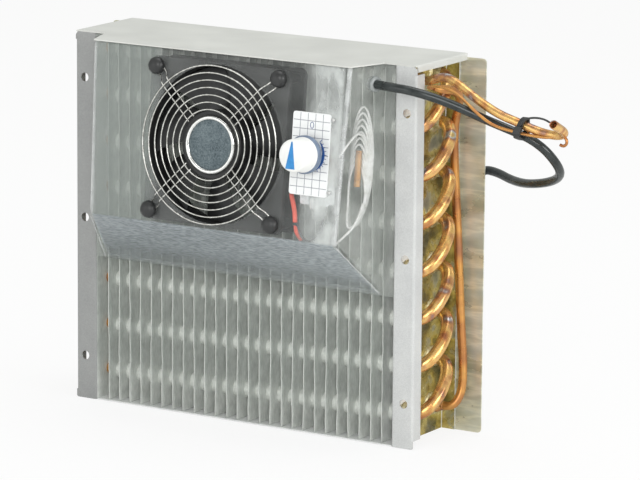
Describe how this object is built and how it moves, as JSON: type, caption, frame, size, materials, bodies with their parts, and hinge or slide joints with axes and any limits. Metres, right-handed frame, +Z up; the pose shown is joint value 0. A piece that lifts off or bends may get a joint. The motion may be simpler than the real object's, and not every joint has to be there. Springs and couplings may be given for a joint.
{
  "type": "walk-in unit cooler",
  "caption": "Small ventilated evaporator: finned tube coil in a flanged sheet-metal case, clear hood with a guarded axial fan and a thermostat dial.",
  "frame": {"origin": "middle of the underside of the case, half-way between the flange front face and the back plate's rear face", "axes": "+X to the viewer's right along the fin pack, +Y from the hood to the back plate, +Z up"},
  "size_m": [0.439, 0.2788, 0.28],
  "materials": {
    "case_sheet": "bright mill finish",
    "painted_top": "satin light grey paint",
    "polished_back": "polished, mirror-like",
    "rivets": "satin",
    "fins": "bright fin stock",
    "copper": "bare copper, dulled and heat-tinted at the brazed bends",
    "capillary": "bare thin copper, darker",
    "black_nylon": "black nylon",
    "clear_hood": "clear formed plastic, polished",
    "rubber": "matt black rubber",
    "black_plastic": "black moulded plastic",
    "bush": "sintered bronze",
    "stator": "varnished core",
    "rotor_steel": "bright zinc rim, matt face",
    "shaft_steel": "bright steel",
    "guard_wire": "bright plated wire",
    "scale_plate": "white with a printed grid and a blue scale arc",
    "switch_steel": "zinc-plated",
    "white_plastic": "white with a blue pointer",
    "sensor_tube": "bright thin tube",
    "socket_white": "white nylon",
    "lead_red": "red and black insulated leads",
    "cable_jacket": "matt black jacket",
    "core_insulation": "one blue, one brown and one green and yellow core",
    "ferrule_tin": "tinned"
  },
  "bodies": {
    "case": {"left_end_plate": "case_sheet", "right_end_plate": "case_sheet", "top_panel": "painted_top", "bottom_sheet": "case_sheet", "back_plate": "polished_back", "back_plate_rivets": "rivets", "fins": "fins", "hairpin_tubes": "copper", "return_bends": "copper", "tube_reducers": "copper", "suction_line": "copper", "riser_line": "copper", "capillary_tube": "capillary", "cable_tie": "black_nylon", "hood": "clear_hood", "cable_grommet": "rubber", "fan_frame": "black_plastic", "fan_bearing": "bush", "fan_stator": "stator", "fan_guard": "guard_wire", "guard_knobs": "black_nylon", "thermostat_plate": "scale_plate", "thermostat_body": "switch_steel", "thermostat_capillary": "sensor_tube", "sensor_bulb": "copper", "terminal_block": "socket_white", "fan_leads": "lead_red", "power_cable": "cable_jacket", "cable_coil": "cable_jacket", "coil_tie": "black_nylon", "cable_tail": "cable_jacket", "end_cores": "core_insulation", "end_ferrules": "ferrule_tin"},
    "fan rotor": {"fan_impeller": "black_plastic", "rotor_cup": "rotor_steel", "rotor_shaft": "shaft_steel"},
    "thermostat knob": {"thermostat_knob": "white_plastic", "thermostat_spindle": "shaft_steel"}
  },
  "joints": [
    {"name": "fan_spin", "type": "hinge", "parent": "case", "child": "fan rotor", "pos_m": [0, -0.07207, 0.21384], "axis": [0, -0.9948, 0.1018], "continuous": true},
    {"name": "thermostat_turn", "type": "hinge", "parent": "case", "child": "thermostat knob", "pos_m": [0.0816, -0.07192, 0.21533], "axis": [0, 0.9948, -0.1018], "range_deg": [0, 290]}
  ]
}
